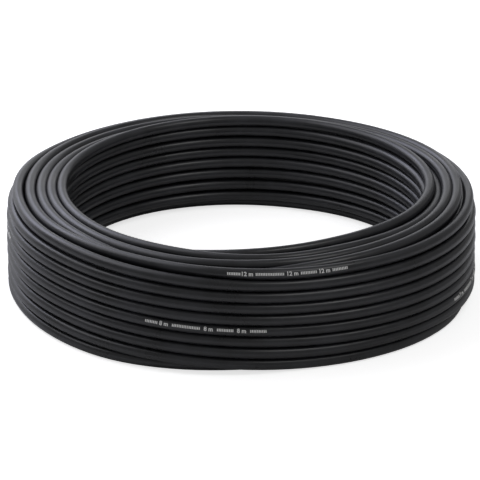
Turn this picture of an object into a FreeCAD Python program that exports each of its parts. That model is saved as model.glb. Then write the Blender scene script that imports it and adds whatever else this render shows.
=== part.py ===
import FreeCAD, Part
import math
import os

# Coil of small-bore soaker hose, lying flat. Millimetres, +Z up.
# The origin is on the floor, at the centre of the coil.
# Angles go round the coil from its front (-Y) towards +X, and the hose is followed that way.

# Driving sizes and counts
SIZES = {
    "hose_diameter": 6.4,
    "hose_bore": 4.4,
    "turn_gap": 0.45,
    "hole_radius": 106.0,
    "turns_wide": 5,
    "turns_high": 9,
    "core_clearance": 0.3,
    "floor_flat": 0.5,
    "end_length": 12.0,
    "inner_end_inset": 12.0,
    "outer_end_inset": 2.0,
}

# Sizes that follow from the driving ones
DERIVED = {
    "turn_pitch": "=hose_diameter + turn_gap",
    "first_radius": "=hole_radius + hose_diameter / 2",
    "last_radius": "=first_radius + (turns_wide - 1) * turn_pitch",
    "floor_height": "=hose_diameter / 2 - floor_flat",
    "top_height": "=floor_height + (turns_high - 1) * turn_pitch",
    "core_inside": "=first_radius + hose_diameter / 2 + core_clearance",
    "core_outside": "=last_radius - hose_diameter / 2 - core_clearance",
    "core_bottom": "=floor_height + hose_diameter / 2 + core_clearance",
    "core_top": "=top_height - hose_diameter / 2 - core_clearance",
    "cutter_side": "=4 * last_radius",
    "cutter_depth": "=hose_diameter",
}

# The gap test's limit, the distance between its points and its search distance beyond a touch
LEAST_GAP = 0.4
GAP_STEP = 1.5
GAP_SEARCH = 2.0

QUARTER = math.pi / 2
FIRST_STATION = -QUARTER / 2

# Sectors of the coil, a quarter turn each, in which the turns change place
FRONT = 0
RIGHT = 1
BACK = 2
LEFT = 3

doc = FreeCAD.newDocument("soaker_hose")


def make_sheet():
    """The spreadsheet that holds every size, one alias per row."""
    sheet = doc.addObject("Spreadsheet::Sheet", "sizes")
    rows = {**SIZES, **DERIVED}
    for row, (alias, content) in enumerate(rows.items(), start=1):
        sheet.set(f"A{row}", alias)
        sheet.set(f"B{row}", str(content))
        sheet.setAlias(f"B{row}", alias)
    doc.recompute()
    return sheet


def place(angle, radius, height):
    """A point at an angle round the coil."""
    return FreeCAD.Vector(radius * math.sin(angle), -radius * math.cos(angle), height)


def heading(angle):
    """The way the hose runs there."""
    return FreeCAD.Vector(math.cos(angle), math.sin(angle), 0)


def stations(sheet):
    """The hose's stations, a quarter turn apart, as angle, radius and height.

    The free inner end lies on the floor in the hole. From there the turns climb the
    inner wall, cross the top outwards, go down the outer wall and run in under the coil,
    where the outer end comes out into the hole too. A turn moves by one place in the
    sector of its wall, and the turn ahead of it has left that place one sector before.
    """
    pitch = sheet.turn_pitch
    wide = int(sheet.turns_wide)
    high = int(sheet.turns_high)
    column, row = 0, 0
    found = [(FIRST_STATION, sheet.first_radius - sheet.inner_end_inset, sheet.floor_height)]

    def step():
        angle = FIRST_STATION + len(found) * QUARTER
        radius = sheet.first_radius + column * pitch
        found.append((angle, radius, sheet.floor_height + row * pitch))

    def sector():
        return (len(found) - 1) % 4

    def go_to(wanted):
        while sector() != wanted:
            step()

    legs = (
        (BACK, 0, 1, high - 1),
        (RIGHT, 1, 0, wide - 1),
        (FRONT, 0, -1, high - 1),
        (LEFT, -1, 0, wide - 2),
    )
    step()
    for leg_sector, columns, rows, count in legs:
        for _ in range(count):
            go_to(leg_sector)
            column += columns
            row += rows
            step()
    go_to(LEFT)
    angle = FIRST_STATION + len(found) * QUARTER
    found.append((angle, sheet.first_radius - sheet.outer_end_inset, sheet.floor_height))
    return found


def arc(start, start_heading, reach, end):
    """The arc that leaves start along its heading and has tangents as long as reach."""
    corner = start + start_heading * reach
    middle = (start + end) * 0.5
    cosine = (end - start).Length / (2 * reach)
    return Part.Arc(start, middle + (corner - middle) * (cosine / (1 + cosine)), end)


def biarc(start, start_heading, end, end_heading):
    """Two arcs with one tangent where they meet."""
    span = end - start
    along = span.dot(start_heading + end_heading)
    bend = 2 * (1 - start_heading.dot(end_heading))
    reach = (math.sqrt(along**2 + bend * span.dot(span)) - along) / bend
    joint = (start + start_heading * reach + end - end_heading * reach) * 0.5
    joint_heading = (end - end_heading * reach - start - start_heading * reach).normalize()
    return [arc(start, start_heading, reach, joint), arc(joint, joint_heading, reach, end)]


def route(sheet):
    """The hose's centre line, with a straight run of one diameter at each end."""
    found = stations(sheet)
    straight = sheet.hose_diameter
    first = place(*found[0])
    last = place(*found[-1])
    first_heading = heading(found[0][0])
    last_heading = heading(found[-1][0])
    curves = [Part.LineSegment(first - first_heading * straight, first)]
    for one, two in zip(found, found[1:]):
        curves += biarc(place(*one), heading(one[0]), place(*two), heading(two[0]))
    curves.append(Part.LineSegment(last, last + last_heading * straight))
    return curves


def least_gap(curves, diameter):
    """The smallest gap between stretches of the hose that pass each other."""
    points = []
    travelled = 0
    for curve in curves:
        length = curve.length()
        count = max(2, round(length / GAP_STEP))
        for index in range(count):
            share = curve.FirstParameter + (curve.LastParameter - curve.FirstParameter) * index / count
            points.append((curve.value(share), travelled + length * index / count))
        travelled += length
    cell = diameter + GAP_SEARCH
    cells = {}
    for index, (point, _) in enumerate(points):
        key = tuple(math.floor(value / cell) for value in point)
        cells.setdefault(key, []).append(index)
    near = [(x, y, z) for x in (-1, 0, 1) for y in (-1, 0, 1) for z in (-1, 0, 1)]
    least = cell
    for key, members in cells.items():
        others = [other for step in near for other in cells.get(tuple(map(sum, zip(key, step))), ())]
        for index in members:
            point, reached = points[index]
            for other in others:
                if points[other][1] - reached > 4 * diameter:
                    least = min(least, point.distanceToPoint(points[other][0]))
    return least - diameter


def make_coil(sheet, curves):
    """The turns that show, one unbroken tube, cut flat where they lie on the floor."""
    radius = sheet.hose_diameter / 2
    start = curves[0].StartPoint
    ring = Part.Circle(start, curves[1].StartPoint - start, radius).toShape()
    tube = Part.Wire([curve.toShape() for curve in curves]).makePipeShell([Part.Wire([ring])], True, False)
    length = sum(curve.length() for curve in curves)
    print("coil: length", round(length, 1), "turns", round((len(curves) - 2) / 8, 2))
    print("coil: volume over section times length", round(tube.Volume / (math.pi * radius**2 * length), 6))
    side = sheet.cutter_side
    corner = FreeCAD.Vector(-side / 2, -side / 2, -sheet.cutter_depth)
    floor = Part.makeBox(side, side, sheet.cutter_depth, corner)
    coil = doc.addObject("Part::Feature", "coil")
    coil.Label = "hose_coil"
    coil.Shape = tube.cut(floor)
    return coil


def make_ring(name, label, outside, inside, bottom, height):
    """A ring or tube about Z from its outer and inner radius, each an expression."""
    solids = []
    for part, radius in (("outside", outside), ("inside", inside)):
        solid = doc.addObject("Part::Cylinder", f"{name}_{part}")
        solid.setExpression("Radius", radius)
        solid.setExpression("Height", height)
        solid.setExpression("Placement.Base.z", bottom)
        solids.append(solid)
    ring = doc.addObject("Part::Cut", name)
    ring.Base, ring.Tool = solids
    ring.Label = label
    return ring


def make_end(label, point, direction):
    """An open end of the hose, with its bore, square against the end of the turns."""
    outside = "sizes.hose_diameter / 2"
    tube = make_ring(f"{label}_tube", f"{label}_round", outside, "sizes.hose_bore / 2", "0", "sizes.end_length")
    floor = doc.addObject("Part::Box", f"{label}_floor")
    floor.setExpression("Length", "sizes.hose_diameter")
    floor.setExpression("Width", "sizes.cutter_depth")
    floor.setExpression("Height", "sizes.end_length")
    floor.setExpression("Placement.Base.x", "-sizes.hose_diameter / 2")
    floor.setExpression("Placement.Base.y", "-sizes.floor_height - sizes.cutter_depth")
    end = doc.addObject("Part::Cut", label)
    end.Base = tube
    end.Tool = floor
    end.Label = label
    up = FreeCAD.Vector(0, 0, 1)
    end.Placement = FreeCAD.Placement(point, FreeCAD.Rotation(up.cross(direction), up, direction, "ZYX"))
    return end


def check(parts):
    """Stops where an object failed or a sub-part isn't one valid solid."""
    for item in doc.Objects:
        if "Invalid" in item.State or "Error" in item.State:
            raise RuntimeError(f"{item.Label} failed: {item.State}")
    for part in parts:
        if part.Shape.isNull() or not part.Shape.isValid() or len(part.Shape.Solids) != 1:
            raise RuntimeError(f"{part.Label} isn't one valid solid")


sheet = make_sheet()
curves = route(sheet)
gap = least_gap(curves, sheet.hose_diameter)
print("coil: least gap to itself", round(gap, 3))
if gap <= LEAST_GAP:
    raise RuntimeError("the turns lie too close to each other")

coil = make_coil(sheet, curves)
core = make_ring(
    "core",
    "coil_core",
    "sizes.core_outside",
    "sizes.core_inside",
    "sizes.core_bottom",
    "sizes.core_top - sizes.core_bottom",
)
start = curves[0].StartPoint
finish = curves[-1].EndPoint
inner_end = make_end("inner_end", start, start - curves[0].EndPoint)
outer_end = make_end("outer_end", finish, finish - curves[-1].StartPoint)
doc.recompute()

parts = [coil, core, inner_end, outer_end]
check(parts)
os.makedirs("parts", exist_ok=True)
for part in parts:
    part.Shape.exportStep(f"parts/{part.Label}.step")
    box = part.Shape.BoundBox
    print(part.Label, "size", round(box.XLength, 2), round(box.YLength, 2), round(box.ZLength, 2))
    print(part.Label, "lowest", round(box.ZMin, 3), "volume", round(part.Shape.Volume, 1))
for end, other in ((inner_end, start), (outer_end, finish)):
    mouth = end.Placement.multVec(FreeCAD.Vector(0, 0, sheet.end_length / 2))
    direction = end.Placement.Rotation.multVec(FreeCAD.Vector(0, 0, 1))
    print(end.Label, "bore middle", [round(v, 4) for v in mouth], "axis", [round(v, 6) for v in direction])
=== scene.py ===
"""A coil of small-bore soaker hose: the hose, its two cut ends, its length marks and the stage."""

import math

import bmesh
import bpy
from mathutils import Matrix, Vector


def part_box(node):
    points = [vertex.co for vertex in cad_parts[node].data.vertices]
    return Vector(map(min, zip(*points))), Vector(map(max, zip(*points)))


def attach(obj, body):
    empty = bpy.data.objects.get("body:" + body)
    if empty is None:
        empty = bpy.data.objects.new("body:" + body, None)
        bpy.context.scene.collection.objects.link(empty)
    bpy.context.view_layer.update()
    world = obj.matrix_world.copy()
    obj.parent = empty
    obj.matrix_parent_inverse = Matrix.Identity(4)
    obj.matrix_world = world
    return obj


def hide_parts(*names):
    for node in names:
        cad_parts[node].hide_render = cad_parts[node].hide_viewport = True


bl_info = {
    "name": "Soaker hose coil",
    "version": (1, 0, 0),
    "blender": (4, 5, 0),
    "location": "3D View > Sidebar > Soaker hose",
    "description": "Lays a coil of soaker hose, with its ends and its length marks",
    "category": "Object",
}

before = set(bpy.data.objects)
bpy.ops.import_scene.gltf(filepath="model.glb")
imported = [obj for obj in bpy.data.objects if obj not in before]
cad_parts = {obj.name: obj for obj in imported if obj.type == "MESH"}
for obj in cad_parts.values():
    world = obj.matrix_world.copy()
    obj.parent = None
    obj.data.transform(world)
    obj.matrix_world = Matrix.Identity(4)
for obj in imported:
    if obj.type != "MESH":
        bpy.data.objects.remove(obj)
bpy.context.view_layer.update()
COIL_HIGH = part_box("hose_coil")[1]

MM = 0.001
FULL_TURN = 360.0
HALF_TURN = 180.0

# Places in the coil's section, as column from the hole outwards and row from the floor up
COLUMNS = 5
ROWS = 9
TOP = ROWS - 1
OUTSIDE = COLUMNS - 1


# Sizes and colours that a user may change

class HoseSizes(bpy.types.PropertyGroup):
    diameter: bpy.props.FloatProperty(
        name="Diameter", description="Outside diameter of the hose", default=6.4 * MM, unit="LENGTH")
    bore: bpy.props.FloatProperty(
        name="Bore", description="Inside diameter of the hose", default=4.4 * MM, unit="LENGTH")
    outer_radius: bpy.props.FloatProperty(
        name="Outer radius", description="Radius of the coil's outside", default=COIL_HIGH.x, unit="LENGTH")
    pitch: bpy.props.FloatProperty(
        name="Pitch", description="Distance between columns of turns", default=6.85 * MM, unit="LENGTH")
    height: bpy.props.FloatProperty(
        name="Height", description="Height of the coil", default=COIL_HIGH.z, unit="LENGTH")
    end_length: bpy.props.FloatProperty(
        name="End length", description="Length of each cut end", default=12 * MM, unit="LENGTH")
    points_per_turn: bpy.props.IntProperty(
        name="Points per turn", description="Control points of the hose in one turn", default=24, min=12)
    sides: bpy.props.IntProperty(
        name="Roundness", description="Bevel resolution of the hose", default=6, min=2)


class HoseFinish(bpy.types.PropertyGroup):
    colour: bpy.props.FloatVectorProperty(
        name="Colour", description="Colour of the plastic", default=(0.0175, 0.0178, 0.0195),
        size=3, subtype="COLOR", min=0, max=1)
    dust: bpy.props.FloatVectorProperty(
        name="Bloom", description="Colour of the faint bloom on the plastic", default=(0.034, 0.035, 0.040),
        size=3, subtype="COLOR", min=0, max=1)
    roughness: bpy.props.FloatProperty(
        name="Roughness", description="Roughness of the satin skin", default=0.30,
        subtype="FACTOR", min=0, max=1)
    ink: bpy.props.FloatVectorProperty(
        name="Ink", description="Colour of the length marks", default=(0.86, 0.86, 0.84),
        size=3, subtype="COLOR", min=0, max=1)


class MarkSettings(bpy.types.PropertyGroup):
    spacing: bpy.props.FloatProperty(
        name="Spacing", description="Length of hose from one mark to the next", default=1.053,
        unit="LENGTH")
    height: bpy.props.FloatProperty(
        name="Height", description="Height of the figures", default=2.3 * MM, unit="LENGTH")
    length: bpy.props.FloatProperty(
        name="Length", description="Length of one mark along the hose", default=67 * MM, unit="LENGTH")
    first_number: bpy.props.IntProperty(
        name="First number", description="Figure of the mark on the top outer turn", default=12)
    lean: bpy.props.FloatProperty(
        name="Lean", description="How far above level the marks face", default=math.radians(20),
        unit="ROTATION")


class StageSettings(bpy.types.PropertyGroup):
    elevation: bpy.props.FloatProperty(
        name="Elevation", description="Camera's height over the horizon", default=math.radians(22.4),
        unit="ROTATION")
    distance: bpy.props.FloatProperty(
        name="Distance", description="Camera's distance from the point it looks at", default=2.097,
        unit="LENGTH")
    look_height: bpy.props.FloatProperty(
        name="Look height", description="Height of that point on the coil's axis", default=22.75 * MM,
        unit="LENGTH")
    lens: bpy.props.FloatProperty(
        name="Lens", description="Focal length in millimetres", default=266.0)


# How the turns lie in the coil

def progress(angle, limits):
    """How far an angle has gone from the first limit to the second, from 0 to 1."""
    start, end = limits
    return min(1.0, max(0.0, (angle - start) / (end - start)))


def smooth(share):
    """From 0 to 1 with level ends."""
    share = min(1.0, max(0.0, share))
    return share * share * (3 - 2 * share)


def ease(angle, limits):
    """From 0 at the first limit to 1 at the second, nearly steady between them."""
    share = progress(angle, limits)
    return (share + smooth(share)) / 2


def mix(one, two, share):
    """The value that lies this share of the way from one to two."""
    return one + (two - one) * share


def list_places():
    """The places in the order in which the hose fills them.

    It climbs the inner wall, crosses the top, goes down the outer wall, runs in under the coil
    and fills the inside, which doesn't show, up along the third column and down in twos.
    """
    places = [(0, row) for row in range(ROWS)]
    places += [(column, TOP) for column in range(1, OUTSIDE)]
    places += [(OUTSIDE, row) for row in range(TOP, -1, -1)]
    places += [(OUTSIDE - 1, row) for row in range(TOP)]
    for row in range(TOP - 1, 0, -1):
        pair = [(2, row), (1, row)]
        places += pair if row % 2 else pair[::-1]
    return places + [(2, 0), (1, 0)]


# The hose goes round once in each pass. One pass steps from the top layer onto the outer wall,
# and the last one outside runs on the floor.
PLACES = list_places()
TOP_PASS = ROWS + OUTSIDE - 1
LAST_OUTSIDE_PASS = TOP_PASS + ROWS
PASSES = len(PLACES)

# The angle at which each free end meets the coil, and the ends' radius there
END_ANGLE = -45.0
INNER_END_RADIUS = 97.2 * MM
OUTER_END_RADIUS = 107.2 * MM

# The angles between which the first turn joins the inner wall and the last one leaves the bundle
END_JOINS = (END_ANGLE, 45)
END_LEAVES = (-125, END_ANGLE)

# The angles between which a pass moves to its next place: the lowest and the highest turn of the
# inner wall, the turns of the top layer, and the step from there onto the outer wall
CLIMB_LOW = (-125, -80)
CLIMB_HIGH = (-50, 4)
CROSS = (-42, 18)
STEP_DOWN = (-40, 15)

# Where the hidden passes start to move: the last one here, and each one before it a step later,
# so that a place is left before the pass ahead moves in. A move takes HIDDEN_SPAN degrees.
HIDDEN_START = -170
HIDDEN_STEP = 8.4
HIDDEN_SPAN = 60

# The angles between which the outer wall's lowest turn comes out from under the coil, and rolls in
ROLL_OUT = (-HALF_TURN, -60)
ROLL_IN = (50, 115)

# How quickly it leaves the wall, per row, and how near it lies to the turn above it, in diameters
ROLL_RATE = 10
NESTED = 0.9

# What the bundle's top stays short of the coil's height
TOP_CLEARANCE = 0.1 * MM

# The height of a row of the inner wall at the back, and how much of the top layer's way in and
# out that wall takes part in
BACK_ROW = 7.17 * MM
FOLLOWS_IN = 0.7
FOLLOWS_OUT = 0.35

# Hidden turns where the outer wall's lowest turn has rolled in: how far it lifts the fourth and
# the third column, and how far every second turn gives way outwards and the others inwards
FOURTH_LIFT = 6.4 * MM
THIRD_LIFT = 5.6 * MM
GIVE_WAY = 1.5 * MM

# The hidden turns beside the inner wall's foot go up and out by these shares of its way back
FOOT_LIFT = 0.75
FOOT_PUSH = 0.65

# How far a turn of the outer wall strays outwards, or up to three times as far inwards, and
# what sets the turns apart in that
STRAY = 0.15 * MM
STRAY_PHASES = (2.4, 5.1)

# The outer wall at angles round the coil: how many rows its turns have come down since the left,
# the height of a row in millimetres, how far the wall's foot, waist and top stand out or in,
# and how much further its top turn does
WALL = (
    (-180, 1.00, 6.80, -1.0, -1.0, -1.5, 0.0),
    (-130, 0.78, 6.80, -3.0, -3.2, -4.4, -2.2),
    (-115, 0.51, 6.80, -3.0, -3.1, -4.7, -3.2),
    (-100, 0.20, 6.80, -3.0, -2.8, -3.2, -2.6),
    (-82, 0.04, 6.80, -2.4, -2.1, -3.6, -2.8),
    (-66, 0.00, 6.80, -0.8, -0.5, -2.2, -1.8),
    (-48, 0.00, 6.78, 2.4, 1.0, -0.6, -0.8),
    (-26, 0.10, 6.56, 5.2, 4.2, 1.0, 0.0),
    (-6, 0.46, 6.52, 4.6, 3.2, 0.0, 0.0),
    (10, 0.96, 6.64, 0.6, -0.4, -2.6, 0.0),
    (26, 1.00, 6.60, 2.2, 2.6, -2.8, 0.0),
    (48, 1.00, 6.46, 3.8, 5.8, -1.0, 0.0),
    (62, 1.20, 6.60, 3.4, 3.8, -0.8, -0.6),
    (90, 1.65, 6.75, -1.8, -1.8, -1.6, -4.0),
    (118, 1.98, 6.80, -1.8, -1.8, -2.2, 0.0),
    (180, 2.00, 6.80, -1.0, -1.0, -1.5, 0.0),
)

# The row of the outer wall's waist
WAIST = 2.5

# The top layer at angles round the coil: how far its four inner turns stand out or in, how far
# the outer three of them dip and how much further the second one does, in millimetres
CROWN = (
    (-180, -0.2, -0.8, -0.8, -0.8, 4.6, 0.0),
    (-130, -3.1, -3.2, -3.6, -4.0, 2.6, 0.0),
    (-90, -4.7, -5.4, -6.4, -7.0, 0.0, 0.0),
    (-60, -4.2, -4.0, -4.2, -4.6, 0.0, 0.0),
    (-39, -2.4, -1.8, -1.8, -1.8, 0.0, 0.0),
    (-21, -4.4, -1.0, -0.5, -0.5, 0.0, 0.0),
    (6, -4.6, 0.0, 0.0, 0.0, 0.0, 0.0),
    (17, -6.2, -2.4, -1.0, -0.8, 0.0, 0.4),
    (32, -7.1, -4.2, -1.6, -1.0, 0.0, 0.6),
    (42, -6.0, -3.8, -1.4, -1.2, 0.0, 1.4),
    (62, -1.8, -1.6, -0.8, -1.6, 0.0, 2.6),
    (90, 2.5, 0.4, -1.4, -2.8, 0.0, 3.8),
    (110, 3.3, 1.2, -1.0, -2.0, 1.0, 4.0),
    (130, 3.2, 1.0, -0.8, -1.4, 2.8, 3.0),
    (152, 1.6, 0.2, -0.8, -0.8, 4.2, 1.0),
    (180, -0.2, -0.8, -0.8, -0.8, 4.6, 0.0),
)

# At the front left the third pass across the top slips down between its neighbours, which
# close up over it. At angles round the coil: how far the second one stands out, how far the
# third one stands out and rises, and how far the outermost one stands out, in millimetres
TUCK = (
    (-180, 0.0, 0.0, 0.0, 0.0),
    (-62, 0.0, 0.0, 0.0, 0.0),
    (-48, 0.6, 0.6, -0.1, -1.2),
    (-38, 1.6, 0.3, -1.0, -2.2),
    (-30, 1.8, 0.4, -2.4, -3.2),
    (-22, 1.2, 0.0, -4.3, -2.6),
    (-15, 2.0, 0.0, -5.0, -3.0),
    (-7, 0.3, -1.0, -5.0, -2.8),
    (0, 0.0, -1.5, -4.6, -1.2),
    (8, 0.0, -1.0, -2.2, 0.0),
    (16, 0.0, -1.4, -1.0, 0.0),
    (34, 0.0, 0.0, 0.0, 0.0),
    (180, 0.0, 0.0, 0.0, 0.0),
)

# How far the turns of the inner wall lie above an even spacing at the back, from the floor up,
# and the row that lies further in, in millimetres
INNER_RISE = (0.0, 0.9, 1.0, 1.5, 1.4, 1.0, 0.7, 0.7, 0.0)
INNER_DEEP_ROW = 5
INNER_DEEP = 0.9

# How far the inner wall's lowest turn lies back under the next one at angles round the coil,
# in millimetres
INNER_FOOT = (
    (-180, 4.3),
    (-142, 6.6),
    (-110, 3.0),
    (-60, 0.0),
    (60, 0.0),
    (110, 2.0),
    (143, 4.2),
    (160, 3.0),
    (180, 4.3),
)


def read_stations(stations, angle):
    """The values at an angle, on smooth curves through a table's rows."""
    index = max(number for number in range(len(stations) - 1) if stations[number][0] <= angle)
    near = [stations[min(len(stations) - 1, max(0, index + step))] for step in (-1, 0, 1, 2)]
    start, end = near[1][0], near[2][0]
    share = (angle - start) / (end - start)
    found = []
    for before, one, two, after in list(zip(*near))[1:]:
        leave = (two - before) / (end - near[0][0]) * (end - start)
        arrive = (after - one) / (near[3][0] - start) * (end - start)
        bend = (1 - share) * leave - share * arrive + (2 * share - 1) * (two - one)
        found.append(mix(one, two, share) + share * (1 - share) * bend)
    return found


class Winding:
    """Where the hose lies at each angle round the coil, 0 at its front and growing towards +X."""

    def __init__(self, sizes):
        self.radius = sizes.diameter / 2
        self.touch = NESTED * sizes.diameter
        self.low = self.radius
        self.high = sizes.height - self.radius - TOP_CLEARANCE
        self.pitch = sizes.pitch
        self.outside = sizes.outer_radius - self.radius
        self.row = (self.high - self.low) / TOP

    def sink(self, angle):
        """How far the outer wall's lowest turn has rolled in: 0 at the front and 1 at the back."""
        if angle < ROLL_OUT[1]:
            return 1 - smooth(progress(angle, ROLL_OUT))
        return smooth(progress(angle, ROLL_IN))

    def column_radius(self, column):
        """The radius of a column of turns before anything moves it."""
        return self.outside - (OUTSIDE - column) * self.pitch

    def wall_radius(self, row, out):
        """The outer wall's radius in a row, where its foot, waist, top and top turn stand out."""
        foot, waist, top, crest = out
        if row < WAIST:
            return self.outside + MM * mix(foot, waist, smooth(row / WAIST))
        radius = self.outside + MM * mix(waist, top, min(1, (row - WAIST) / (TOP - WAIST)) ** 2)
        return radius + MM * crest * smooth(row - TOP + 1)

    def outer_place(self, row, angle):
        """A turn of the outer wall. Below the floor it has rolled in under the turn above it."""
        lowered, spread, *out = read_stations(WALL, angle)
        row -= lowered
        spread *= MM
        if row >= 0:
            return self.wall_radius(row, out), min(self.high, self.low + spread * row)
        if row <= -1:
            return self.wall_radius(0, out) + self.touch * row, self.low
        rise = min(self.touch, spread * (row + 1))
        tucked = self.wall_radius(row + 1, out) - math.sqrt(self.touch**2 - rise**2)
        return mix(self.wall_radius(0, out), tucked, min(1, -ROLL_RATE * row)), self.low

    def top_place(self, column, angle):
        """A place of the top layer."""
        *out, dip, second_dip = read_stations(CROWN, angle)
        drop = (column > 0) * dip + (column == 1) * second_dip
        return self.column_radius(column) + MM * out[column], self.high - MM * drop

    def inner_place(self, row, angle):
        """A place of the inner wall, whose lowest turn lies back under the next one."""
        back = max(0.0, -math.cos(math.radians(angle)))
        spread = mix(self.row, BACK_ROW, back)
        height = max(self.low, self.high - spread * (TOP - row) + MM * INNER_RISE[row] * back)
        crown = read_stations(CROWN, angle)[0]
        radius = self.column_radius(0) + MM * crown * (FOLLOWS_IN if crown < 0 else FOLLOWS_OUT)
        if row == 0:
            radius += MM * read_stations(INNER_FOOT, angle)[0]
        if row == INNER_DEEP_ROW:
            radius += MM * INNER_DEEP * back
        return radius, height

    def inside_place(self, column, row, angle):
        """A place that the walls and the top layer hide. It sinks where the third pass slips down."""
        sunk = self.sink(angle)
        top = self.top_place(column, angle)[1] + MM * read_stations(TUCK, angle)[2]
        radius = self.column_radius(column)
        if column == OUTSIDE - 1:
            if row == 0:
                return radius - self.pitch * sunk, self.low
            lift = FOURTH_LIFT * sunk * (TOP - row) / (TOP - 1)
            return radius, mix(self.low, top, row / TOP) + lift
        lift = THIRD_LIFT * sunk
        if column == 1:
            foot = max(0.0, read_stations(INNER_FOOT, angle)[0]) * MM
            lift = FOOT_LIFT * foot
            radius += FOOT_PUSH * foot if row == 0 else 0
        radius += (GIVE_WAY if row % 2 else -GIVE_WAY) * sunk
        return radius, mix(self.low + lift, top, row / TOP)

    def at(self, place, angle):
        """Where a place other than one of the outer wall lies, as radius and height."""
        column, row = place
        if row == TOP:
            return self.top_place(column, angle)
        if column == 0:
            return self.inner_place(row, angle)
        return self.inside_place(column, row, angle)

    def share(self, number, angle):
        """How far a pass has gone from its old place to its new one."""
        if number <= TOP:
            early = (ROWS - number) / ROWS
            return early * ease(angle, CLIMB_LOW) + (1 - early) * ease(angle, CLIMB_HIGH)
        if number < TOP_PASS:
            return ease(angle, CROSS)
        if number == TOP_PASS:
            return ease(angle, STEP_DOWN)
        later = PASSES - 1 - number
        return smooth((angle - HIDDEN_START - HIDDEN_STEP * later) / HIDDEN_SPAN)

    def tuck(self, number, angle):
        """How far a pass across the top stands out and up where the third one slips down."""
        second_out, third_out, third_up, last_out = read_stations(TUCK, angle)
        moves = {
            TOP_PASS - 2: (second_out, 0),
            TOP_PASS - 1: (third_out, min(0.0, third_up)),
            TOP_PASS: (last_out, 0),
        }
        return moves.get(number, (0, 0))

    def point(self, number, angle):
        """The hose at an angle from -180 to 180 in one of its passes round the coil."""
        outer = self.outer_place(LAST_OUTSIDE_PASS - number, angle)
        if TOP_PASS < number <= LAST_OUTSIDE_PASS:
            turn = math.radians(angle)
            first, second = (number * phase for phase in STRAY_PHASES)
            uneven = math.sin(first + turn * 2) + math.sin(second - turn)
            return outer[0] + STRAY * (uneven - 1), outer[1]
        if number == 0:
            share = smooth(progress(angle, END_JOINS))
            return mix(INNER_END_RADIUS, self.at(PLACES[0], angle)[0], share), self.low
        old = self.at(PLACES[number - 1], angle)
        if number == PASSES:
            share = smooth(progress(angle, END_LEAVES))
            return mix(old[0], OUTER_END_RADIUS, share), self.low
        new = outer if number == TOP_PASS else self.at(PLACES[number], angle)
        share = self.share(number, angle)
        out, up = self.tuck(number, angle)
        return mix(old[0], new[0], share) + MM * out, mix(old[1], new[1], share) + MM * up

    def spot(self, number, angle, stretch=1.0):
        """The same as a point in space, its radius stretched."""
        radius, height = self.point(number, angle)
        turn = math.radians(angle)
        return Vector((radius * stretch * math.sin(turn), -radius * stretch * math.cos(turn), height))


def heading(angle):
    """The way the hose runs at an angle round the coil."""
    turn = math.radians(angle)
    return Vector((math.cos(turn), math.sin(turn), 0))


def route(sizes):
    """The control points of the hose, from the inner end to the outer one.

    The points lie outside the turns by as much as the spline cuts inside them.
    """
    winding = Winding(sizes)
    step = FULL_TURN / sizes.points_per_turn
    stretch = 1 / math.cos(math.radians(step / 2))
    first = winding.spot(0, END_ANGLE)
    last = winding.spot(PASSES, END_ANGLE)
    run = sizes.diameter
    points = [first - heading(END_ANGLE) * run, first]
    angle = END_ANGLE + step
    finish = PASSES * FULL_TURN + END_ANGLE
    while angle < finish - step / 2:
        number = math.floor((angle + HALF_TURN) / FULL_TURN)
        points.append(winding.spot(number, angle - number * FULL_TURN, stretch))
        angle += step
    return points + [last, last + heading(END_ANGLE) * run]


# Finishes

# How fine the lines are that the die drew, in cycles per metre along the hose and across it
LINES_ALONG = 14
LINES_ACROSS = 1500

# How much smoother and rougher than its setting the skin is in patches
SMOOTHER = 0.05
ROUGHER = 0.09

# How bright worn ink is, as a share of fresh ink
WORN = 0.6


def node(tree, kind, **values):
    """A shader node with its settings and its unlinked sockets filled in."""
    made = tree.nodes.new(kind)
    for key, value in values.items():
        socket = made.inputs.get(key)
        if socket is None:
            setattr(made, key, value)
        else:
            socket.default_value = value
    return made


def finish_material(name):
    """A new material with an empty node tree and its output."""
    material = bpy.data.materials.new(name)
    material.use_nodes = True
    tree = material.node_tree
    tree.nodes.clear()
    return material, tree, tree.nodes.new("ShaderNodeOutputMaterial")


def ramp(tree, source, low, high, first, second):
    """A colour ramp from one colour to another between two positions."""
    made = tree.nodes.new("ShaderNodeValToRGB")
    made.color_ramp.elements[0].position = low
    made.color_ramp.elements[1].position = high
    made.color_ramp.elements[0].color = (*first, 1)
    made.color_ramp.elements[1].color = (*second, 1)
    tree.links.new(source, made.inputs["Fac"])
    return made.outputs["Color"]


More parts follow.
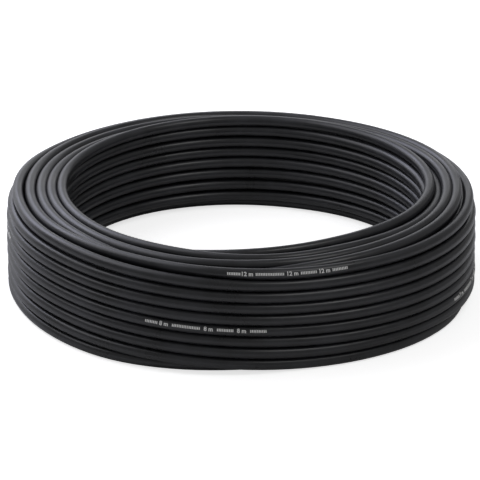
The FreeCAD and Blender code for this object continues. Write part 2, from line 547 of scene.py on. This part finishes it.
def hose_material(finish):
    """Satin black extruded plastic, with fine drawing lines along the hose and a faint bloom."""
    material, tree, output = finish_material("extruded_black_plastic")
    link = tree.links.new
    place = node(tree, "ShaderNodeTexCoord").outputs["Object"]
    level = node(tree, "ShaderNodeVectorMath", operation="MULTIPLY")
    level.inputs[1].default_value = (1, 1, 0)
    link(place, level.inputs[0])
    reach = node(tree, "ShaderNodeVectorMath", operation="LENGTH")
    link(level.outputs["Vector"], reach.inputs[0])
    stretched = node(tree, "ShaderNodeVectorMath", operation="MULTIPLY")
    stretched.inputs[1].default_value = (LINES_ALONG, LINES_ALONG, LINES_ACROSS)
    link(place, stretched.inputs[0])
    across = node(tree, "ShaderNodeMath", operation="MULTIPLY")
    across.inputs[1].default_value = LINES_ACROSS
    link(reach.outputs["Value"], across.inputs[0])
    lines = node(tree, "ShaderNodeTexNoise", noise_dimensions="4D", Scale=1.0, Detail=3.0, Roughness=0.6)
    link(stretched.outputs["Vector"], lines.inputs["Vector"])
    link(across.outputs["Value"], lines.inputs["W"])
    grain = node(tree, "ShaderNodeTexNoise", Scale=2600.0, Detail=4.0, Roughness=0.6)
    link(place, grain.inputs["Vector"])
    patches = node(tree, "ShaderNodeTexNoise", Scale=38.0, Detail=5.0, Roughness=0.62)
    link(place, patches.inputs["Vector"])

    shader = node(tree, "ShaderNodeBsdfPrincipled")
    shader.inputs["IOR"].default_value = 1.5
    colour = ramp(tree, patches.outputs["Fac"], 0.38, 0.72, finish.colour, finish.dust)
    link(colour, shader.inputs["Base Color"])

    satin = node(tree, "ShaderNodeMapRange")
    satin.inputs["To Min"].default_value = finish.roughness - SMOOTHER
    satin.inputs["To Max"].default_value = finish.roughness + ROUGHER
    satin.inputs["From Min"].default_value = 0.3
    satin.inputs["From Max"].default_value = 0.7
    link(patches.outputs["Fac"], satin.inputs["Value"])
    link(satin.outputs["Result"], shader.inputs["Roughness"])

    drawn = node(tree, "ShaderNodeBump", Strength=0.22, Distance=0.00012)
    link(lines.outputs["Fac"], drawn.inputs["Height"])
    skin = node(tree, "ShaderNodeBump", Strength=0.12, Distance=0.00008)
    link(grain.outputs["Fac"], skin.inputs["Height"])
    link(drawn.outputs["Normal"], skin.inputs["Normal"])
    link(skin.outputs["Normal"], shader.inputs["Normal"])
    link(shader.outputs["BSDF"], output.inputs["Surface"])
    return material


def cut_material(finish):
    """The knife-cut face of the plastic, duller and scored by the blade."""
    material, tree, output = finish_material("cut_plastic")
    link = tree.links.new
    place = node(tree, "ShaderNodeTexCoord").outputs["Object"]
    scores = node(tree, "ShaderNodeTexWave", Scale=1100.0, Distortion=3.0, Detail=3.0)
    link(place, scores.inputs["Vector"])
    shader = node(tree, "ShaderNodeBsdfPrincipled")
    colour = ramp(tree, scores.outputs["Fac"], 0.2, 0.9, finish.colour, finish.dust)
    link(colour, shader.inputs["Base Color"])
    shader.inputs["Roughness"].default_value = 0.6
    bump = node(tree, "ShaderNodeBump", Strength=0.35, Distance=0.00006)
    link(scores.outputs["Fac"], bump.inputs["Height"])
    link(bump.outputs["Normal"], shader.inputs["Normal"])
    link(shader.outputs["BSDF"], output.inputs["Surface"])
    return material


def ink_material(finish):
    """Pale stamped ink, slightly broken where it didn't take."""
    material, tree, output = finish_material("stamped_ink")
    link = tree.links.new
    place = node(tree, "ShaderNodeTexCoord").outputs["Object"]
    wear = node(tree, "ShaderNodeTexNoise", Scale=2400.0, Detail=3.0)
    link(place, wear.inputs["Vector"])
    faded = tuple(value * WORN for value in finish.ink)
    shader = node(tree, "ShaderNodeBsdfPrincipled")
    colour = ramp(tree, wear.outputs["Fac"], 0.3, 0.55, faded, finish.ink)
    link(colour, shader.inputs["Base Color"])
    shader.inputs["Roughness"].default_value = 0.55
    link(shader.outputs["BSDF"], output.inputs["Surface"])
    return material


def floor_material():
    """A white floor that keeps the object's soft shadow."""
    material, tree, output = finish_material("pale_floor")
    link = tree.links.new
    shader = node(tree, "ShaderNodeBsdfDiffuse")
    shader.inputs["Color"].default_value = (0.9, 0.9, 0.9, 1)
    glow = node(tree, "ShaderNodeEmission", Strength=0.70)
    seen = node(tree, "ShaderNodeLightPath")
    both = node(tree, "ShaderNodeAddShader")
    pick = node(tree, "ShaderNodeMixShader")
    link(shader.outputs["BSDF"], both.inputs[0])
    link(glow.outputs["Emission"], both.inputs[1])
    link(seen.outputs["Is Camera Ray"], pick.inputs["Fac"])
    link(shader.outputs["BSDF"], pick.inputs[1])
    link(both.outputs["Shader"], pick.inputs[2])
    link(pick.outputs["Shader"], output.inputs["Surface"])
    return material


# Pieces

def add(name, data):
    """A new object in the scene."""
    made = bpy.data.objects.new(name, data)
    bpy.context.scene.collection.objects.link(made)
    return made


def centre_line(curve_object):
    """The points that the hose's spline runs through."""
    bare = bpy.data.objects.new("bare_line", curve_object.data.copy())
    bare.data.bevel_depth = 0
    mesh = bpy.data.meshes.new_from_object(bare)
    points = [vertex.co.copy() for vertex in mesh.vertices]
    bpy.data.meshes.remove(mesh)
    bpy.data.curves.remove(bare.data)
    return points


class SOAKER_OT_hose(bpy.types.Operator):
    """Lay the whole hose as one spline, wound into its coil"""
    bl_idname = "soaker.hose"
    bl_label = "Lay the hose"

    def execute(self, context):
        sizes = context.scene.hose_sizes
        points = route(sizes)
        curve = bpy.data.curves.new("hose", "CURVE")
        curve.dimensions = "3D"
        curve.resolution_u = 5
        curve.bevel_depth = sizes.diameter / 2
        curve.bevel_resolution = sizes.sides
        curve.use_fill_caps = True
        spline = curve.splines.new("NURBS")
        spline.points.add(len(points) - 1)
        for point, place in zip(spline.points, points):
            point.co = (*place, 1)
        spline.order_u = 3
        spline.use_endpoint_u = True
        hose = add("hose", curve)
        hose.data.materials.append(hose_material(context.scene.hose_finish))
        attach(hose, "root")
        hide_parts("hose_coil", "coil_core")
        return {"FINISHED"}


# A cut end: the width of its rounded rim, how far the rim's corner is cut off, how deep its bore
# goes as a share of its length, its sides, and how nearly a face of the cut lies square to the hose
RIM = 0.15 * MM
RIM_CORNER = 0.3 * RIM
BORE_DEPTH = 0.96
END_SIDES = 48
SQUARE = 0.9


def end_mesh(name, sizes, mouth, direction):
    """A cut end: the hose's wall, its bore and a slightly rounded rim."""
    outside = sizes.diameter / 2
    inside = sizes.bore / 2
    length = sizes.end_length
    profile = [
        (outside, -length),
        (outside, -RIM),
        (outside - RIM_CORNER, -RIM_CORNER),
        (outside - RIM, 0),
        (inside + RIM, 0),
        (inside + RIM_CORNER, -RIM_CORNER),
        (inside, -RIM),
        (inside, -length * BORE_DEPTH),
    ]
    side = direction.cross(Vector((0, 0, 1))).normalized()
    up = side.cross(direction).normalized()
    vertices = []
    for radius, along in profile:
        for step in range(END_SIDES):
            turn = 2 * math.pi * step / END_SIDES
            around = side * math.cos(turn) + up * math.sin(turn)
            vertices.append(mouth + direction * along + around * radius)
    faces = []
    last = (len(profile) - 1) * END_SIDES
    for ring in range(0, last, END_SIDES):
        for step in range(END_SIDES):
            one, two = ring + step, ring + (step + 1) % END_SIDES
            faces.append((one, two, two + END_SIDES, one + END_SIDES))
    faces.append(tuple(last + step for step in range(END_SIDES)))
    mesh = bpy.data.meshes.new(name)
    mesh.from_pydata(vertices, [], faces)
    mesh.update()
    return mesh


class SOAKER_OT_ends(bpy.types.Operator):
    """Make the two cut ends, with the hose's bore"""
    bl_idname = "soaker.ends"
    bl_label = "Make the cut ends"

    def execute(self, context):
        sizes = context.scene.hose_sizes
        hose = bpy.data.objects["hose"]
        line = centre_line(hose)
        finish = context.scene.hose_finish
        cut = cut_material(finish)
        for name, meet, inside in (("inner_end", line[0], line[1]), ("outer_end", line[-1], line[-2])):
            direction = (meet - inside).normalized()
            mesh = end_mesh(f"{name}_cut", sizes, meet + direction * sizes.end_length, direction)
            mesh.materials.append(hose.data.materials[0])
            mesh.materials.append(cut)
            for face in mesh.polygons:
                face.use_smooth = True
                if abs(face.normal.dot(direction)) > SQUARE:
                    face.material_index = 1
            end = add(f"{name}_cut", mesh)
            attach(end, "root")
            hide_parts(name)
        return {"FINISHED"}


# The angle at which the middle of the first length mark lies, on the top outer turn
FIRST_MARK_ANGLE = 11.4

# Where the figures and the rows of ticks lie in a mark, as shares of its length from its middle
FIGURE_PLACES = (-0.34, 0.03, 0.3)
TICK_ROWS = ((-0.5, -0.4), (-0.27, -0.04), (0.1, 0.23), (0.37, 0.5))

# A tick's width, the distance from one tick to the next, and half a tick's height as a share of
# a figure's
TICK_WIDTH = 0.62 * MM
TICK_STEP = 1.5 * TICK_WIDTH
TICK_HALF = 0.34

# A figure's height as a share of its font's size, how much its strokes are thickened, into how
# many strips its height is cut, and how far the ink stands off the skin
FONT_SHARE = 0.7
THICKENED = 0.11 * MM
STRIPS = 10
INK_LIFT = 0.03 * MM


def figures(text, height):
    """The points and faces of plain figures, centred on their own origin."""
    curve = bpy.data.curves.new("figures", "FONT")
    curve.body = text
    curve.size = height / FONT_SHARE
    curve.align_x = "CENTER"
    curve.align_y = "CENTER"
    curve.offset = THICKENED
    writer = add("figure_writer", curve)
    mesh = bpy.data.meshes.new_from_object(writer.evaluated_get(bpy.context.evaluated_depsgraph_get()))
    points = [vertex.co.copy() for vertex in mesh.vertices]
    faces = [tuple(face.vertices) for face in mesh.polygons]
    bpy.data.objects.remove(writer)
    bpy.data.curves.remove(curve)
    bpy.data.meshes.remove(mesh)
    return points, faces


def mark(number, marks):
    """One length mark: rows of ticks with the metre's figure between them."""
    points, faces = [], []
    for middle in FIGURE_PLACES:
        found, loops = figures(f"{number} m", marks.height)
        base = len(points)
        points += [Vector((point.x + middle * marks.length, point.y, 0)) for point in found]
        faces += [tuple(base + index for index in loop) for loop in loops]
    half = TICK_HALF * marks.height
    for start, end in TICK_ROWS:
        at = start * marks.length
        while at < end * marks.length:
            base = len(points)
            points += [Vector((at, -half, 0)), Vector((at + TICK_WIDTH, -half, 0))]
            points += [Vector((at + TICK_WIDTH, half, 0)), Vector((at, half, 0))]
            faces.append((base, base + 1, base + 2, base + 3))
            at += TICK_STEP
    return sliced(points, faces, marks.height)


def sliced(points, faces, height):
    """The same flat faces, cut into strips that are narrow enough to bend round the hose."""
    flat = bmesh.new()
    made = [flat.verts.new(point) for point in points]
    for loop in faces:
        flat.faces.new([made[index] for index in loop])
    for cut in range(1 - STRIPS, STRIPS):
        level = Vector((0, cut * height / STRIPS, 0))
        everything = flat.verts[:] + flat.edges[:] + flat.faces[:]
        bmesh.ops.bisect_plane(flat, geom=everything, plane_co=level, plane_no=(0, 1, 0))
    flat.verts.index_update()
    points = [vertex.co.copy() for vertex in flat.verts]
    faces = [tuple(vertex.index for vertex in face.verts) for face in flat.faces]
    flat.free()
    return points, faces


class SOAKER_OT_marks(bpy.types.Operator):
    """Stamp the plain length marks on the turns of the outer wall"""
    bl_idname = "soaker.marks"
    bl_label = "Stamp the length marks"

    def execute(self, context):
        sizes = context.scene.hose_sizes
        marks = context.scene.hose_marks
        line = centre_line(bpy.data.objects["hose"])
        passed = lengths(line)
        wanted = length_at(line, passed, TOP_PASS * FULL_TURN + FIRST_MARK_ANGLE)
        last = length_at(line, passed, (LAST_OUTSIDE_PASS - 1) * FULL_TURN)
        points, faces = [], []
        number = marks.first_number
        while wanted < last:
            index = next(index for index, length in enumerate(passed) if length >= wanted)
            found, loops = mark(number, marks)
            base = len(points)
            points += [wrap(line, index, point, passed[index] - wanted, sizes, marks) for point in found]
            faces += [tuple(base + index for index in loop) for loop in loops]
            number -= 1
            wanted += marks.spacing
        mesh = bpy.data.meshes.new("length_marks")
        mesh.from_pydata(points, [], faces)
        mesh.update()
        mesh.materials.append(ink_material(context.scene.hose_finish))
        stamped = add("length_marks", mesh)
        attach(stamped, "root")
        return {"FINISHED"}


def turned(line):
    """How far round the coil the hose has gone at each of its points, in degrees."""
    angles = []
    before = travelled = math.degrees(math.atan2(line[0].x, -line[0].y))
    for point in line:
        now = math.degrees(math.atan2(point.x, -point.y))
        travelled += (now - before + HALF_TURN) % FULL_TURN - HALF_TURN
        angles.append(travelled)
        before = now
    return angles


def lengths(line):
    """The length of hose up to each of its points."""
    passed = [0.0]
    for one, two in zip(line, line[1:]):
        passed.append(passed[-1] + (two - one).length)
    return passed


def length_at(line, passed, angle):
    """The length of hose up to the place where it has gone round the coil by an angle."""
    angles = turned(line)
    index = next(index for index, reached in enumerate(angles) if reached >= angle)
    share = (angle - angles[index - 1]) / (angles[index] - angles[index - 1])
    return mix(passed[index - 1], passed[index], share)


def wrap(line, index, flat, short, sizes, marks):
    """A point of a flat mark on the hose's skin.

    The mark's middle lies short of the line's point at index by the length called short.
    """
    left = flat.x - short
    forward = 1 if left >= 0 else -1
    left = abs(left)
    step = (line[index + forward] - line[index]).length
    while left > step:
        left -= step
        index += forward
        step = (line[index + forward] - line[index]).length
    centre = line[index] + (line[index + forward] - line[index]) * (left / step)
    out = Vector((centre.x, centre.y, 0)).normalized()
    turn = marks.lean + flat.y / (sizes.diameter / 2)
    away = out * math.cos(turn) + Vector((0, 0, 1)) * math.sin(turn)
    return centre + away * (sizes.diameter / 2 + INK_LIFT)


class SOAKER_OT_declare(bpy.types.Operator):
    bl_idname = "soaker.declare"
    bl_label = "Declare the hose"

    def execute(self, context):
        hose = bpy.data.objects["hose"]
        line = centre_line(hose)
        return {"FINISHED"}


# The lamps, with their size, power, place and colour, and the spot that they point at
LAMPS = {
    "left_lamp": ((0.9, 0.7), 3.3, (-0.55, 0.22, 0.80), (0.93, 0.93, 1.0)),
    "right_lamp": ((0.4, 0.4), 1.8, (0.52, -0.31, 1.12), (1.0, 1.0, 1.0)),
    "rear_left_lamp": ((0.8, 0.6), 3.4, (-0.62, 0.85, 0.74), (0.78, 0.80, 1.0)),
    "back_lamp": ((3.0, 0.95), 6.5, (-0.55, 1.6, 0.52), (0.94, 0.95, 1.0)),
}
LAMP_TARGET = Vector((0, 0, 0.03))

# How far the floor goes, and how far the camera sees
FLOOR_REACH = 12.0
SIGHT = 50


def lamp(name, size, power, place, colour):
    """A soft rectangular lamp that points at the coil."""
    data = bpy.data.lights.new(name, "AREA")
    data.shape = "RECTANGLE"
    data.size, data.size_y = size
    data.energy = power
    data.color = colour
    made = add(name, data)
    made.location = place
    made.rotation_euler = (LAMP_TARGET - Vector(place)).to_track_quat("-Z", "Y").to_euler()


class SOAKER_OT_stage(bpy.types.Operator):
    """Set the floor, the soft studio lamps, the world and the camera"""
    bl_idname = "soaker.stage"
    bl_label = "Set the stage"

    def execute(self, context):
        stage = context.scene.hose_stage
        mesh = bpy.data.meshes.new("floor")
        corners = [(x * FLOOR_REACH, y * FLOOR_REACH, 0) for x, y in ((-1, -1), (1, -1), (1, 1), (-1, 1))]
        mesh.from_pydata(corners, [], [(0, 1, 2, 3)])
        mesh.materials.append(floor_material())
        add("floor", mesh)

        for name, (size, power, place, colour) in LAMPS.items():
            lamp(name, size, power, place, colour)

        # The bright background isn't there for glossy rays: satin black would turn grey in it
        world = bpy.data.worlds.new("studio")
        world.use_nodes = True
        tree = world.node_tree
        tree.nodes.clear()
        output = tree.nodes.new("ShaderNodeOutputWorld")
        dim = node(tree, "ShaderNodeBackground", Strength=0.30)
        bright = node(tree, "ShaderNodeBackground", Strength=1.0)
        path = node(tree, "ShaderNodeLightPath")
        either = node(tree, "ShaderNodeMath", operation="MAXIMUM")
        pick = node(tree, "ShaderNodeMixShader")
        tree.links.new(path.outputs["Is Camera Ray"], either.inputs[0])
        tree.links.new(path.outputs["Is Transmission Ray"], either.inputs[1])
        tree.links.new(either.outputs["Value"], pick.inputs["Fac"])
        tree.links.new(dim.outputs["Background"], pick.inputs[1])
        tree.links.new(bright.outputs["Background"], pick.inputs[2])
        tree.links.new(pick.outputs["Shader"], output.inputs["Surface"])
        context.scene.world = world
        context.scene.view_settings.view_transform = "Standard"

        data = bpy.data.cameras.new("camera")
        data.lens = stage.lens
        camera = add("camera", data)
        back = Vector((0, -math.cos(stage.elevation), math.sin(stage.elevation)))
        camera.location = Vector((0, 0, stage.look_height)) + back * stage.distance
        camera.rotation_euler = (-back).to_track_quat("-Z", "Y").to_euler()
        data.clip_end = SIGHT
        context.scene.camera = camera
        return {"FINISHED"}


class SOAKER_PT_panel(bpy.types.Panel):
    """The hose's sizes, finishes and steps"""
    bl_idname = "SOAKER_PT_panel"
    bl_label = "Soaker hose coil"
    bl_space_type = "VIEW_3D"
    bl_region_type = "UI"
    bl_category = "Soaker hose"

    def draw(self, context):
        scene = context.scene
        for group in (scene.hose_sizes, scene.hose_finish, scene.hose_marks, scene.hose_stage):
            box = self.layout.box()
            for name in group.__annotations__:
                box.prop(group, name)
        for step in STEPS:
            self.layout.operator(step)


GROUPS = {
    "hose_sizes": HoseSizes,
    "hose_finish": HoseFinish,
    "hose_marks": MarkSettings,
    "hose_stage": StageSettings,
}
OPERATORS = (SOAKER_OT_hose, SOAKER_OT_ends, SOAKER_OT_marks, SOAKER_OT_declare, SOAKER_OT_stage)
STEPS = [operator.bl_idname for operator in OPERATORS]


def register():
    for kind in (*GROUPS.values(), *OPERATORS, SOAKER_PT_panel):
        bpy.utils.register_class(kind)
    for name, group in GROUPS.items():
        setattr(bpy.types.Scene, name, bpy.props.PointerProperty(type=group))


def unregister():
    for name in GROUPS:
        delattr(bpy.types.Scene, name)
    for kind in reversed((*GROUPS.values(), *OPERATORS, SOAKER_PT_panel)):
        bpy.utils.unregister_class(kind)


def main():
    register()
    bpy.ops.soaker.hose()
    bpy.ops.soaker.ends()
    bpy.ops.soaker.marks()
    bpy.ops.soaker.declare()
    bpy.ops.soaker.stage()


if __name__ == "__main__":
    main()
